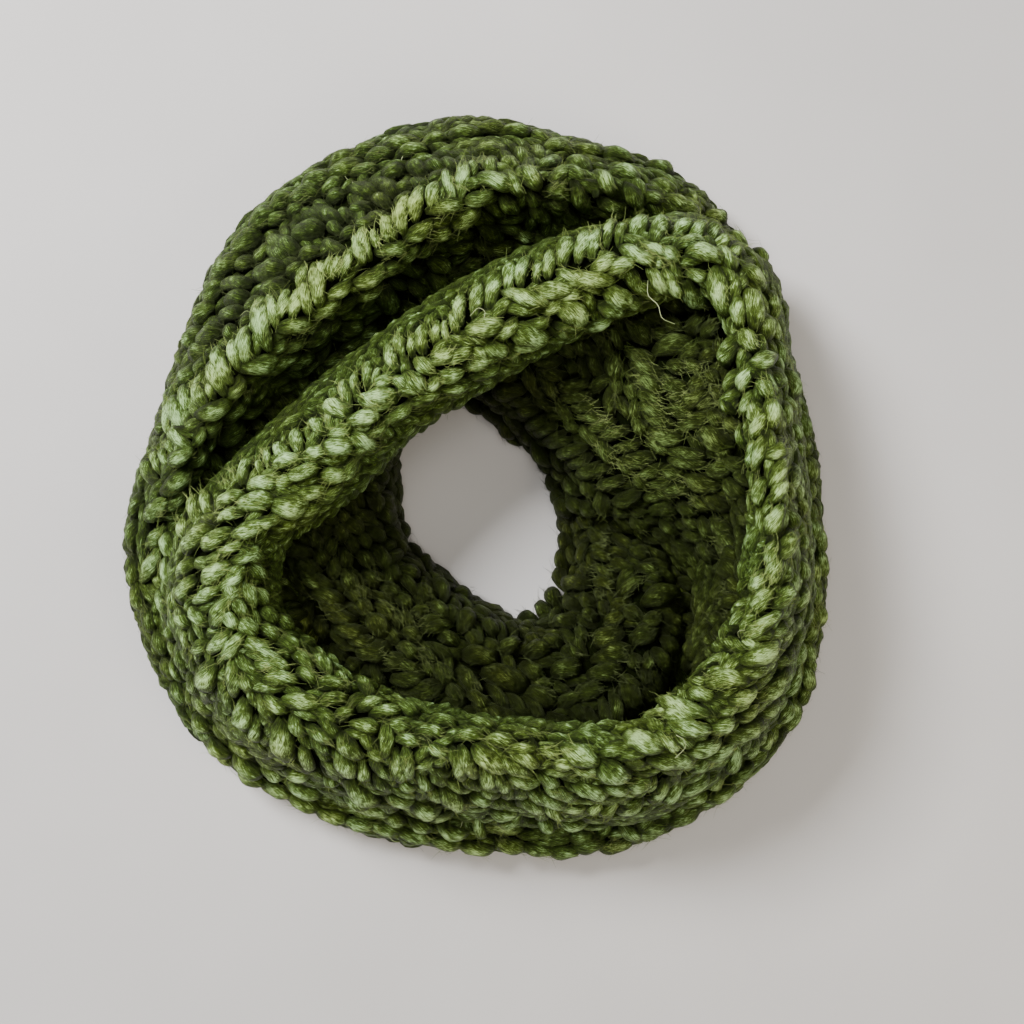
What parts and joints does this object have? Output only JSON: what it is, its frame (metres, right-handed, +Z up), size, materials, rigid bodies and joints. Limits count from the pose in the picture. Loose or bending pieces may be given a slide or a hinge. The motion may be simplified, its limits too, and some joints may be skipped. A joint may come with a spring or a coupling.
{
  "type": "loop scarf",
  "caption": "Chunky rib-knit loop scarf, one closed strip wound into two loops and laid down in a ring with an open well and a band crossing over it.",
  "frame": {"origin": "on the surface the scarf lies on, below the middle of its bounding box", "axes": "+Z up from that surface; +Y from the thick lower rim across the well to the far side, which is the top of the picture; +X to the right of the picture, towards the sharp bend of the crossing band"},
  "size_m": [0.3332, 0.3505, 0.1015],
  "materials": {
    "rim_yarn": "matte, slightly fuzzy wool-blend yarn, olive green",
    "side_yarn": "matte, slightly fuzzy wool-blend yarn, olive green",
    "well_yarn": "matte, slightly fuzzy wool-blend yarn, olive green",
    "hidden_yarn": "matte wool-blend yarn, out of sight"
  },
  "bodies": {
    "root": {"crossing_band": "rim_yarn", "left_rim": "rim_yarn", "bottom_rim": "rim_yarn", "right_rim": "rim_yarn", "lower_loop_top": "side_yarn", "lower_loop_left": "side_yarn", "lower_loop_bottom": "side_yarn", "lower_loop_right": "side_yarn", "inner_ring": "well_yarn", "inner_wall": "well_yarn", "folded_layers": "hidden_yarn"}
  },
  "joints": []
}
